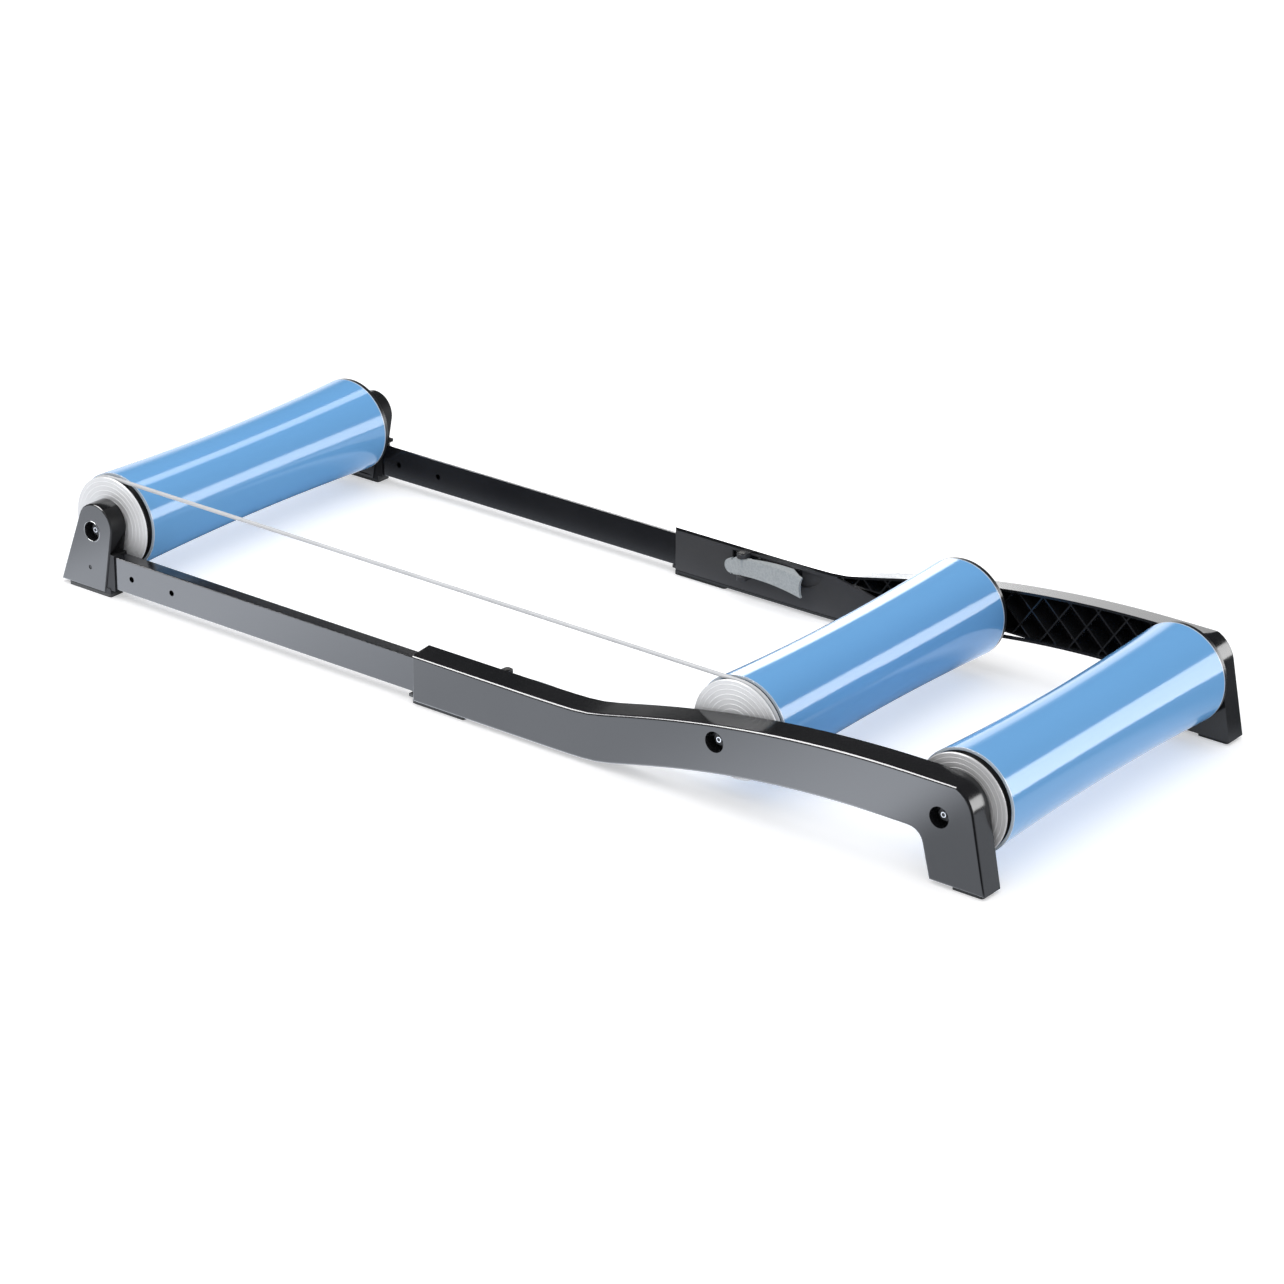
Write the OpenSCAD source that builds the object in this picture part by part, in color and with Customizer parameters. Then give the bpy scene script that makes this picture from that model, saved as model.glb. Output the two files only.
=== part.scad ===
// Bike rollers: three concave rollers on a frame that slides together for storage.
// X points to the single front roller, Y to the rider's left, Z up.
// The origin is on the floor, under the middle of the opened frame.

/* [Frame layout] */
// Width over the outer faces of the two outer rails
frame_width = 490; // [470:5:540]
// Height of the roller axles above the floor
axle_height = 75; // [72:1:80]
// Distance between the axles of the two rear rollers
rear_axle_spacing = 275; // [265:5:300]
// Distance from the middle axle to the front axle, frame opened
wheelbase = 886; // [870:2:900]

/* [Outer rail] */
// Depth of an outer rail, from its inner edge to its outer face
rail_depth = 29; // [28:0.5:32]
// Wall of the moulded outer rail and of the front bracket
rail_wall = 3; // [2.4:0.2:3.4]
// How much the rail's top falls away towards its outer face
crown = 3; // [1:0.5:3.5]
// Height of the straight sleeve's top
sleeve_top = 60; // [60:1:64]
// Height of the arch's top, over the rear axle
arch_top = 116; // [112:1:120]
// Height of the arch's underside
arch_under = 55; // [54:0.5:56]
// Radius of the arch's long top curve
arch_radius = 1500; // [1400:20:1600]
// Radius of the arch's long underside curve
under_radius = 1235; // [1180:5:1300]
// Distance from the middle axle to the mouth of the sleeve
sleeve_reach = 405; // [395:1:410]
// Distance from the rear axle to the rear edge of the leg, at the floor
leg_overhang = 56; // [54:1:62]
// Length of the rear leg at the floor
leg_length = 66; // [60:1:72]
// Thickness of the crossed stiffening ribs
rib_thickness = 1.8; // [1.4:0.2:2.4]
// Distance between the crossings of the stiffening ribs
rib_pitch = 35; // [30:1:45]

/* [Slide bar] */
// Thickness of the slide bar, across the frame
bar_width = 17; // [15:0.5:17.5]
// Height of the slide bar
bar_height = 40; // [36:1:40]
// Wall of the slide bar's steel tube
bar_wall = 1.5; // [1.2:0.1:2]
// Height of the slide bar's underside above the floor
bar_bottom = 11; // [10.5:0.25:11.5]
// Length of the bracket's collar, which stops the frame at the sleeve
collar_length = 14.5; // [10:0.5:20]
// Diameter of the holes in the slide bar
bar_hole_d = 7; // [6:0.5:8]
// Distance between the holes that set the wheelbase
bar_hole_pitch = 62; // [55:1:70]

/* [Rollers] */
// Room between the end of a roller's tube and the inner edge of the rail
roller_room = 18; // [17.5:0.5:26]
// Diameter of the tube at its ends
roller_end_d = 113; // [108:1:114]
// Diameter of the tube at its middle
roller_waist_d = 104; // [98:1:106]
// Wall of the roller's tube
roller_wall = 3; // [2:0.5:4]
// Diameter of the axles
axle_d = 10; // [8.5:0.5:12]
// Outer diameter of the ball bearings
bearing_d = 26; // [22:1:30]
// Width of the ball bearings
bearing_width = 8; // [7:1:9]
// Thickness of the pale disc on the belt side of each roller
disc_rim = 3; // [2:0.5:3.5]

/* [Drive belt] */
// Diameter of the round belt
belt_d = 4.6; // [4:0.1:5]
// Width of the belt groove
groove_width = 7.5; // [7:0.5:8]
// Diameter of the groove's floor
groove_d = 100; // [96:1:102]

/* [Latch] */
// Length of the lever, from its pin to its tail
lever_length = 86; // [76:1:90]
// Height of the lever beside its pin
lever_height = 20; // [18:0.5:21]
// How far the lever bows up between its ends
lever_bow = 4.5; // [2:0.5:5]
// Diameter of the lever's pin
latch_pin_d = 4; // [3:0.5:5]

/* [Feet] */
// Thickness of the rubber feet
foot_thickness = 4; // [3:0.5:4.5]

/* [Fits] */
// Clearance between the slide bar and what guides it
slide_gap = 0.3; // [0.2:0.05:0.5]
// Radial clearance of an axle or a pin that turns
running_gap = 0.05; // [0.02:0.01:0.1]
// Clearance between pieces that are pressed or screwed together
seat_gap = 0.1; // [0.05:0.05:0.2]
// Clearance between the belt and the floor of its groove
belt_gap = 0.3; // [0.2:0.05:0.5]

/* [Hidden] */

$fn = 64;
overlap = 0.5;
big = 400;

// Places across the frame, for the left side
outer_y = frame_width / 2;
inner_y = outer_y - rail_depth;
cover_thickness = 3.4;
bar_y0 = inner_y + cover_thickness + slide_gap + 0.3;
bar_y1 = bar_y0 + bar_width;
bracket_depth = 23;
bracket_y1 = bar_y1 + rail_wall;
bracket_y0 = bracket_y1 - bracket_depth;
boss_face_y = inner_y - 3;
roller_length = 2 * (inner_y - roller_room);

// Places along the frame, counted from the middle axle
rear_reach = rear_axle_spacing + leg_overhang;
bracket_toe = 52.5;
mid_x = (max(rear_reach, rear_axle_spacing + roller_end_d / 2)
         - wheelbase - max(bracket_toe, roller_end_d / 2)) / 2;

// How far the frame slides together: until the bracket's collar meets the bush in the sleeve's mouth
heel_setback = 17.5;
heel_u = wheelbase - heel_setback;
collar_rear = heel_u - collar_length;
bush_lip = 7;
stop_gap = 2;
slide_travel = collar_rear - sleeve_reach - bush_lip - stop_gap;

// Heights
foot_z = foot_thickness;
bar_top = bar_bottom + bar_height;
bar_hole_z = bar_bottom + 19;

// Outline of the outer rail
arch_peak_lead = 35;
arch_peak = arch_peak_lead - rear_axle_spacing;
under_peak_lead = 75;
under_peak = under_peak_lead - rear_axle_spacing;
kink_softness = 6;
kink_start = 245;
corner_radius = 36;
crotch_radius = 18;
rear_lean = 0.2;
front_lean = 0.25;
curve_steps = 26;
corner_steps = 9;

function soft_max(a, b, k) = (a + b + sqrt((a - b) * (a - b) + k * k)) / 2;
function arch_z(u, peak_u, peak_z, r) =
    let (d = max(0, u - peak_u)) peak_z - r + sqrt(r * r - d * d);
function steps_between(a, b, n) = [for (i = [0:n]) a + (b - a) * i / n];
function slope_length(lean) = sqrt(1 + lean * lean);

function top_z(u, inset) =
    soft_max(sleeve_top - inset, arch_z(u, arch_peak, arch_top - inset, arch_radius - inset), kink_softness);
function under_z(u, inset) =
    soft_max(foot_z + inset, arch_z(u, under_peak, arch_under + inset, under_radius + inset), kink_softness);
function rear_edge(z, inset) = -rear_reach + rear_lean * (z - foot_z) + inset * slope_length(rear_lean);
function leg_edge(z) = -rear_reach + leg_length + front_lean * (z - foot_z);

// Centre of the rounded corner over the rear leg, and of the hollow corner in front of it
function corner_center(inset) =
    let (r = corner_radius - inset, z = arch_top - inset - r)
    [rear_edge(z, inset) + r * slope_length(rear_lean), z];
crotch_center = let (z = arch_under - crotch_radius)
    [leg_edge(z) + crotch_radius * slope_length(front_lean), z];

// Upper edge of the side view, from the mouth of the sleeve to the rear leg
function crest(inset) = [
    [sleeve_reach, top_z(sleeve_reach, inset)],
    for (u = steps_between(kink_start, corner_center(inset)[0] + 4, curve_steps)) [u, top_z(u, inset)],
    for (a = steps_between(90, 180 - atan(rear_lean), corner_steps))
        corner_center(inset) + (corner_radius - inset) * [cos(a), sin(a)]];

function rail_outline() = concat(
    crest(0),
    [[rear_edge(foot_z, 0), foot_z], [leg_edge(foot_z), foot_z]],
    [for (a = steps_between(180 - atan(front_lean), 90, corner_steps))
        crotch_center + crotch_radius * [cos(a), sin(a)]],
    [for (u = steps_between(crotch_center[0] + 10, kink_start, curve_steps)) [u, under_z(u, 0)]],
    [[sleeve_reach, under_z(sleeve_reach, 0)]]);

// Outline of the hollow inside the rail, which stops above the leg; the mouth lies open
function hollow_outline(wall, mouth) = concat(
    [[mouth, top_z(mouth, wall)]],
    [for (i = [1:len(crest(wall)) - 1]) crest(wall)[i]],
    [[rear_edge(arch_under + wall, wall), arch_under + wall]],
    [for (u = steps_between(under_peak, kink_start, curve_steps)) [u, under_z(u, wall)]],
    [[mouth, under_z(mouth, wall)]]);

// Plate with a side view given as children, from y0 to y1
module slab(y0, y1) {
    translate([0, y1, 0])
        rotate([90, 0, 0])
            linear_extrude(height = y1 - y0)
                children();
}

// Space under a top that falls away towards the outer face, for each inset from the rail's top.
// At the inner edge it starts a little below the side view's own outline.
crown_angle = atan(crown / rail_depth);
crown_start = 0.1;

module crown_space(inset) {
    rear = -rear_reach - big;
    front = sleeve_reach + big;
    top = [for (u = concat([front], steps_between(kink_start, corner_center(inset)[0] + 4, curve_steps)))
        [u, top_z(min(u, sleeve_reach), inset)]];
    translate([0, inner_y, arch_top])
        rotate([-crown_angle, 0, 0])
            slab(-big, big)
                polygon([for (p = concat(top, [[rear, arch_top - inset], [rear, -big], [front, -big]]))
                    [p[0], (p[1] - crown_start - arch_top) * cos(crown_angle)]]);
}

// Round rod across the frame, from y0 to y1
module cross_rod(u, z, d, y0, y1) {
    translate([u, y1, z])
        rotate([90, 0, 0])
            cylinder(h = y1 - y0, d = d);
}

module block(u, y, z) {
    translate([u[0], y[0], z[0]])
        cube([u[1] - u[0], y[1] - y[0], z[1] - z[0]]);
}

// Puts a left-hand piece, drawn from the middle axle, in its place on either side
module on_side(side) {
    translate([mid_x, 0, 0])
        mirror([0, side == "left" ? 0 : 1, 0])
            children();
}

// Axle mountings
pocket_d = 23;
pocket_depth = 16;
axle_end_d = axle_d - 2;
nut_height = 6.5;
nut_across = 13 * axle_end_d / 8;
thread_end = 1.5;
mid_pocket_floor = outer_y - pocket_depth;
front_pocket_floor = bracket_y1 - pocket_depth + 2;

module axle_boss(u, floor_y, face_y) {
    cross_rod(u, axle_height, pocket_d + 2 * rail_wall, floor_y - rail_wall, face_y - overlap);
    cross_rod(u, axle_height, axle_d + 8, boss_face_y, floor_y);
}

module axle_pocket(u, floor_y, face_y) {
    cross_rod(u, axle_height, pocket_d, floor_y, face_y + 1);
    cross_rod(u, axle_height, axle_end_d + 2 * seat_gap, boss_face_y - 1, face_y);
}

// Space that the slide bar runs in
channel_y0 = inner_y + cover_thickness;
channel_y1 = bar_y1 + slide_gap;
channel_z0 = bar_bottom - slide_gap;
channel_z1 = bar_top + slide_gap;
channel_end = leg_edge(bar_top) + 1;
channel_spare = 8;
plug_cap = 3;
bar_rear = channel_end + channel_spare + plug_cap + slide_travel;
web_z = channel_z1 + 2;

// The cover's top edge slopes down behind the sleeve, so the ribs show above it
cover_slope_start = 178;
cover_slope_end = 50;
cover_slope_drop = 26;
cover_top = sleeve_top - rail_wall;

module cover_area(gap) {
    polygon([[sleeve_reach, -big], [sleeve_reach, big], [cover_slope_start, big],
             [cover_slope_start, cover_top - gap], [cover_slope_end, cover_top - cover_slope_drop - gap],
             [cover_slope_end, -big]]);
}

rib_angle = 41;
rib_tilt = -6;
rib_count = ceil((rear_reach + cover_slope_start) / rib_pitch / 2) + 2;
rib_middle = (cover_slope_start - rear_reach) / 2;

// Crossed ribs over the arch, above the bar's channel and the cover
module crossed_ribs() {
    difference() {
        for (k = [-rib_count:rib_count])
            for (side = [-1, 1])
                translate([rib_middle + k * rib_pitch, (arch_top + arch_under) / 2])
                    rotate(rib_tilt + side * rib_angle)
                        square([rib_thickness, big], center = true);
        translate([-big, web_z - big - overlap])
            square([3 * big, big]);
        translate([0, seat_gap])
            cover_area(0);
        translate([cover_slope_start, 0])
            square([big, big]);
    }
}

// Ribs in the sleeve that guide the slide bar
guide_count = 5;
guide_first = bar_rear + 8;
guide_last = sleeve_reach - 33;
guide_thickness = 2;

// Ribs and the channel's ceiling, kept inside the rail's walls
module rail_stiffeners() {
    slab(channel_y0 + seat_gap, outer_y - rail_wall + overlap)
        intersection() {
            polygon(hollow_outline(rail_wall - overlap, sleeve_reach));
            union() {
                crossed_ribs();
                translate([under_peak, channel_z1])
                    square([cover_slope_start - under_peak, web_z - channel_z1]);
                for (u = steps_between(guide_first, guide_last, guide_count - 1))
                    translate([u - guide_thickness / 2, 0])
                        square([guide_thickness, sleeve_top]);
            }
        }
}

// Feet: footprint and pegs
foot_y0 = inner_y + 3;
foot_y1 = outer_y - 4;
peg_d = 8;
mid_foot_length = 73;
mid_foot_lead = 4;
mid_foot = [sleeve_reach + mid_foot_lead - mid_foot_length, sleeve_reach + mid_foot_lead];
rear_foot = [-rear_reach + 4, -rear_reach + 41];
front_foot = [wheelbase - 25, wheelbase + 41];

function peg_places(span) = [span[0] + 12, span[1] - 12];

module peg_holes(span, y, depth) {
    for (u = peg_places(span))
        translate([u, y, foot_z - 1])
            cylinder(h = depth + 1, d = peg_d + 2 * seat_gap);
}

module outer_rail(side) {
    color("dimgray")
        on_side(side)
            difference() {
                intersection() {
                    union() {
                        difference() {
                            slab(inner_y, outer_y)
                                polygon(rail_outline());
                            intersection() {
                                slab(inner_y - 1, outer_y - rail_wall)
                                    polygon(hollow_outline(rail_wall, sleeve_reach + 1));
                                crown_space(rail_wall);
                            }
                        }
                        rail_stiffeners();
                        axle_boss(0, mid_pocket_floor, outer_y);
                        axle_boss(-rear_axle_spacing, mid_pocket_floor, outer_y);
                    }
                    crown_space(0);
                }
                block([channel_end, sleeve_reach + 1], [channel_y0, channel_y1], [channel_z0, channel_z1]);
                axle_pocket(0, mid_pocket_floor, outer_y);
                axle_pocket(-rear_axle_spacing, mid_pocket_floor, outer_y);
                peg_holes([mid_foot[0], sleeve_reach], (foot_y0 + foot_y1) / 2, rail_wall);
                peg_holes(rear_foot, (foot_y0 + foot_y1) / 2, rail_wall);
            }
}

// Latch: an arched lever on an upright pin, held by two lugs of the cover
latch_setback = 101.5;
pin_u = sleeve_reach - latch_setback;
pin_y = inner_y - 9;
lever_z = bar_bottom + bar_height / 2 + 9;
lever_half = lever_height / 2;
head_u = 15;
head_r = 8.7;
lever_middle = (head_u - lever_length) / 2;
lever_swing = (head_u + lever_length) / 2;
lever_flare = 2;
lever_side_gap = 0.5;
lug_radius = latch_pin_d / 2 + 4;
lug_height = 5;
pin_head = 1.2;

// Window in the cover behind the lever, with a scooped rear end
window_lead = 24;
window_rear = pin_u - lever_length - window_lead;
window_front = pin_u + 20;
window_top = cover_top - 3.5;
window_bottom = lever_z - 7;
scoop_length = 34;
scoop_depth = cover_thickness - 0.8;

function lever_middle_z(x) = lever_bow * (0.6 - pow((x - lever_middle) / lever_swing, 2));
function lever_half_at(x) = lever_half - 0.3 + lever_flare * (head_u - x) / lever_length;

// The lugs stand clear of the lever's edges, as far out as they reach from the pin
lug_top = lever_z + lever_middle_z(-lug_radius) + lever_half_at(-lug_radius) + lever_side_gap;
lug_bottom = lever_z + lever_middle_z(lug_radius) - lever_half_at(lug_radius) - lever_side_gap - lug_height;

module latch_lug(z) {
    translate([pin_u, pin_y, z])
        cylinder(h = lug_height, r = lug_radius);
    block([pin_u - lug_radius, pin_u + lug_radius], [pin_y, inner_y + overlap], [z, z + lug_height]);
}

module sleeve_cover(side) {
    color("dimgray")
        on_side(side)
            difference() {
                union() {
                    slab(inner_y, inner_y + cover_thickness)
                        intersection() {
                            polygon(hollow_outline(rail_wall + seat_gap + crown_start
                                                   + crown * cover_thickness / rail_depth, sleeve_reach));
                            cover_area(seat_gap);
                        }
                    latch_lug(lug_top);
                    latch_lug(lug_bottom);
                }
                slab(inner_y - 1, inner_y + cover_thickness + 1)
                    difference() {
                        translate([window_rear + scoop_length, window_bottom])
                            square([window_front - window_rear - scoop_length, window_top - window_bottom]);
                        translate([window_front - 3, window_bottom])
                            square([big, 4]);
                    }
                slab(inner_y - 1, inner_y + scoop_depth)
                    intersection() {
                        translate([window_rear, window_bottom])
                            square([scoop_length + 1, window_top - window_bottom]);
                        translate([window_rear + scoop_length, window_bottom + scoop_length])
                            circle(r = scoop_length);
                    }
                translate([pin_u, pin_y, -1])
                    cylinder(h = big, d = latch_pin_d + 2 * running_gap);
            }
}

module latch_pin(side) {
    color("silver")
        on_side(side)
            translate([pin_u, pin_y, lug_bottom - pin_head])
                union() {
                    cylinder(h = lug_top + lug_height + 2 * pin_head - lug_bottom, d = latch_pin_d);
                    cylinder(h = pin_head - seat_gap, d = latch_pin_d + 3);
                    translate([0, 0, lug_top + lug_height + pin_head + seat_gap - lug_bottom])
                        cylinder(h = pin_head, d = latch_pin_d + 4);
                }
}

// Lever seen from inside the frame, drawn from its pin: an arched band with a round, notched head
module lever_face(inset) {
    xs = steps_between(head_u, -lever_length + inset, 16);
    difference() {
        union() {
            translate([head_u, lever_middle_z(head_u)])
                circle(r = head_r - inset);
            polygon(concat([for (x = xs) [x, lever_middle_z(x) + lever_half_at(x) - inset]],
                           [for (i = [16:-1:0]) [xs[i], lever_middle_z(xs[i]) - lever_half_at(xs[i]) + inset]]));
        }
        for (s = [-1, 1])
            translate([head_u, lever_middle_z(head_u) + s * (head_r + 1.5)])
                intersection() {
                    translate([0, -2])
                        square([20, 4]);
                    circle(r = 2);
                }
        for (s = [-1, 1])
            translate([head_u - 2, lever_middle_z(head_u) + s * (head_r + 0.5)])
                circle(r = 1.5, $fn = 32);
        translate([-lever_length - 21 + inset, lever_middle_z(-lever_length) - 1])
            circle(r = 24);
    }
}

// Lever seen from above: a thin face that leans away from the cover, with flanges behind it
face_lean = 0.04;
lever_skin = 2.4;
flange_back = inner_y - 0.6 - pin_y;
cam_radius = bar_y0 - slide_gap - pin_y;

module lever_plan() {
    polygon([[head_u + head_r + 1, -1], [head_u + head_r + 1, lever_skin - 1], [8, 4], [-8, 4], [-13, 2.5],
             [-lever_length * 0.77, flange_back], [-lever_length + 6, 0], [-lever_length - 1, -2],
             [-lever_length - 1, -1 - face_lean * (head_u + lever_length)]]);
}

module latch_lever(side) {
    color("lightsteelblue")
        on_side(side)
            translate([pin_u, pin_y, lever_z])
                difference() {
                    union() {
                        intersection() {
                            slab(-30, 30)
                                lever_face(0);
                            translate([0, 0, -30])
                                linear_extrude(height = 60)
                                    lever_plan();
                        }
                        intersection() {
                            translate([0, 0, -5])
                                cylinder(h = 13, r = cam_radius);
                            block([-6, 6], [0, cam_radius + 1], [-20, 20]);
                        }
                    }
                    intersection() {
                        slab(-30, 30)
                            lever_face(lever_skin);
                        translate([0, 0, -30])
                            linear_extrude(height = 60)
                                polygon([[-10, lever_skin - 1.6], [-10, 30], [-lever_length - 1, 30],
                                         [-lever_length - 1, lever_skin - 1 - face_lean * (head_u + lever_length)]]);
                    }
                    translate([0, 0, -30])
                        cylinder(h = 60, d = latch_pin_d + 2 * running_gap);
                }
}

// Guide bush in the mouth of the sleeve, with a lip under the bar
bush_length = 14;
bush_y0 = channel_y0 + seat_gap;
bush_y1 = outer_y - rail_wall - seat_gap;
bush_z0 = under_z(sleeve_reach, rail_wall + seat_gap);
bush_z1 = top_z(sleeve_reach, rail_wall + seat_gap);

module mouth_bush(side) {
    color("black")
        on_side(side)
            difference() {
                union() {
                    intersection() {
                        block([sleeve_reach - bush_length, sleeve_reach], [bush_y0, bush_y1], [bush_z0, bush_z1]);
                        crown_space(rail_wall + seat_gap);
                    }
                    block([sleeve_reach - 1, sleeve_reach + bush_lip], [bush_y0, bush_y1], [bush_z0, channel_z0]);
                }
                block([0, 2 * big], [bar_y0 - slide_gap, bar_y1 + slide_gap], [channel_z0, channel_z1]);
            }
}

module foot_shape(span, y0, y1, radius) {
    translate([span[0] + radius, y0])
        square([span[1] - span[0] - 2 * radius, y1 - y0]);
    translate([span[0], y0 + radius])
        square([span[1] - span[0], y1 - y0 - 2 * radius]);
    for (u = [span[0] + radius, span[1] - radius])
        for (y = [y0 + radius, y1 - radius])
            translate([u, y])
                circle(r = radius);
}

module foot(span, y0, y1, peg_span) {
    color("black")
        union() {
            linear_extrude(height = foot_thickness)
                foot_shape(span, y0, y1, 3);
            for (u = peg_places(peg_span))
                translate([u, (y0 + y1) / 2, 0])
                    cylinder(h = foot_thickness + rail_wall - 0.4, d = peg_d);
        }
}

module mid_foot_pad(side) {
    on_side(side)
        foot(mid_foot, foot_y0, foot_y1, [mid_foot[0], sleeve_reach]);
}

module rear_foot_pad(side) {
    on_side(side)
        foot(rear_foot, foot_y0, foot_y1, rear_foot);
}

module front_foot_pad(side) {
    on_side(side)
        foot(front_foot, bracket_y0 + 1, bracket_y1 - 0.5, front_foot);
}

// Slide bar: a steel tube that carries the front bracket
bar_front = wheelbase + 26;
screw_u = wheelbase + 5;
screw_d = 5;

module slide_bar(side) {
    color("gray")
        on_side(side)
            difference() {
                block([bar_rear, bar_front], [bar_y0, bar_y1], [bar_bottom, bar_top]);
                block([bar_rear - 1, bar_front + 1], [bar_y0 + bar_wall, bar_y1 - bar_wall],
                      [bar_bottom + bar_wall, bar_top - bar_wall]);
                for (k = [1, 2])
                    cross_rod(screw_u - k * bar_hole_pitch, bar_hole_z, bar_hole_d, bar_y0 - 1, bar_y1 + 1);
                cross_rod(screw_u, bar_hole_z, screw_d + 2 * seat_gap, bar_y0 - 1, bar_y1 + 1);
            }
}

module bar_plug(side) {
    plug_length = 20;
    color("black")
        on_side(side)
            union() {
                block([bar_rear - plug_cap, bar_rear], [bar_y0, bar_y1], [bar_bottom, bar_top]);
                block([bar_rear - overlap, bar_rear + plug_length],
                      [bar_y0 + bar_wall + seat_gap, bar_y1 - bar_wall - seat_gap],
                      [bar_bottom + bar_wall + seat_gap, bar_top - bar_wall - seat_gap]);
            }
}

// Front bracket: a rounded head over a leaning foot
head_center = [wheelbase - 5, axle_height + 7.5];
head_radius = 26;

// Where a line from point p touches a circle, on the left or the right of the way to its centre
function touch_point(p, c, r, turn) =
    let (d = norm(c - p), a = atan2(c[1] - p[1], c[0] - p[0]) + turn * asin(r / d), l = sqrt(d * d - r * r))
    p + l * [cos(a), sin(a)];

module bracket_outline(inset) {
    heel = [heel_u + inset, foot_z];
    toe = [wheelbase + bracket_toe - inset * 1.08, foot_z];
    r = head_radius - inset;
    intersection() {
        union() {
            translate(head_center)
                circle(r = r);
            polygon([heel, toe, touch_point(toe, head_center, r, -1), head_center,
                     touch_point(heel, head_center, r, 1)]);
        }
        translate([0, foot_z + inset])
            square([3 * big, big]);
    }
}

socket_wall = 2.4;
collar_wall = 1.6;

module front_bracket(side) {
    collar = [collar_rear, heel_u + 12];
    color("dimgray")
        on_side(side)
            difference() {
                union() {
                    difference() {
                        slab(bracket_y0, bracket_y1)
                            bracket_outline(0);
                        slab(bracket_y0 - 1, bracket_y1 - rail_wall)
                            bracket_outline(rail_wall);
                    }
                    block([heel_u, bar_front + 3],
                          [bar_y0 - slide_gap - socket_wall, bracket_y1 - overlap],
                          [bar_bottom - slide_gap - socket_wall, bar_top + slide_gap + socket_wall]);
                    block(collar, [bar_y0 - slide_gap - collar_wall, bar_y1 + slide_gap + collar_wall],
                          [bar_bottom - slide_gap - collar_wall, bar_top + slide_gap + collar_wall]);
                    block([front_foot[0], heel_u + 8], [bracket_y0 + 1, bracket_y1 - 0.5],
                          [foot_z, bar_bottom - slide_gap]);
                    axle_boss(wheelbase, front_pocket_floor, bracket_y1);
                }
                block([collar_rear - 1, bar_front + seat_gap], [bar_y0 - seat_gap, bar_y1 + seat_gap],
                      [bar_bottom - seat_gap, bar_top + seat_gap]);
                axle_pocket(wheelbase, front_pocket_floor, bracket_y1);
                cross_rod(screw_u, bar_hole_z, screw_d + 2 * seat_gap, bracket_y0 - 5, bracket_y1 + 1);
                peg_holes(front_foot, (bracket_y0 + bracket_y1) / 2 + 0.25, rail_wall);
            }
}

module bracket_screw(side) {
    color("black")
        on_side(side)
            cross_rod(screw_u, bar_hole_z, screw_d, bar_y0 - slide_gap - socket_wall, bracket_y1 - 0.8);
}

// Axle with a shoulder and a collar on each side; the shoulder stands against the frame's boss
module axle(u, floor_y) {
    collar_d = axle_d + 4;
    color("silver")
        translate([mid_x, 0, 0])
            union() {
                cross_rod(u, axle_height, axle_d, -boss_face_y, boss_face_y);
                cross_rod(u, axle_height, axle_end_d, -floor_y - nut_height - thread_end,
                          floor_y + nut_height + thread_end);
                cross_rod(u, axle_height, collar_d, left_bearing_y + bearing_width + slide_gap, boss_face_y);
                cross_rod(u, axle_height, collar_d, -boss_face_y, right_bearing_y - slide_gap);
            }
}

module axle_nut(u, floor_y, side) {
    color("silver")
        on_side(side)
            translate([u, floor_y + nut_height, axle_height])
                rotate([90, 0, 0])
                    difference() {
                        cylinder(h = nut_height, d = nut_across / cos(30), $fn = 6);
                        translate([0, 0, -1])
                            cylinder(h = nut_height + 2, d = axle_end_d + seat_gap);
                    }
}

// Roller parts, drawn about the roller's own middle with the axis along Y
roller_half = roller_length / 2;
waist_r = roller_waist_d / 2;
end_r = roller_end_d / 2;
waist_sag = end_r - waist_r;
waist_arc = (roller_half * roller_half + waist_sag * waist_sag) / (2 * waist_sag);
plug_depth = 12;
plug_r = waist_r + (roller_half - plug_depth) * (roller_half - plug_depth) / (2 * waist_arc)
         - roller_wall - seat_gap;
groove_y0 = roller_half;
groove_y1 = roller_half + groove_width;
disc_face = groove_y1 + disc_rim;
disc_r = groove_d / 2 + 4.5;
disc_hole_d = axle_d + 8;
right_rim = 6;
left_bearing_y = groove_y1 - bearing_width;
right_bearing_y = -roller_half - right_rim;
hub_web = 4.5;
hub_core_r = bearing_d / 2 + 4;

module about_roller(u) {
    translate([mid_x + u, 0, axle_height])
        rotate([-90, 0, 0])
            children();
}

module roller_shell(u) {
    color("cornflowerblue")
        about_roller(u)
            rotate_extrude($fn = 128)
                difference() {
                    translate([0, -roller_half])
                        square([end_r, roller_length]);
                    translate([waist_r + waist_arc, 0])
                        circle(r = waist_arc, $fn = 1440);
                    difference() {
                        translate([-1, -roller_half - 1])
                            square([end_r + 1 - roller_wall, roller_length + 2]);
                        translate([waist_r + waist_arc, 0])
                            circle(r = waist_arc + roller_wall, $fn = 1440);
                    }
                }
}

module left_hub(u) {
    color("black")
        about_roller(u)
            difference() {
                union() {
                    translate([0, 0, roller_half - plug_depth])
                        cylinder(h = plug_depth + overlap, r = plug_r);
                    translate([0, 0, groove_y0])
                        cylinder(h = groove_width, d = groove_d);
                }
                difference() {
                    translate([0, 0, roller_half - plug_depth - 1])
                        cylinder(h = plug_depth + 1 + groove_width - hub_web, r = plug_r - 4);
                    cylinder(h = big, r = hub_core_r);
                }
                translate([0, 0, left_bearing_y])
                    cylinder(h = big, d = bearing_d);
                cylinder(h = big, d = disc_hole_d);
            }
}

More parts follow.
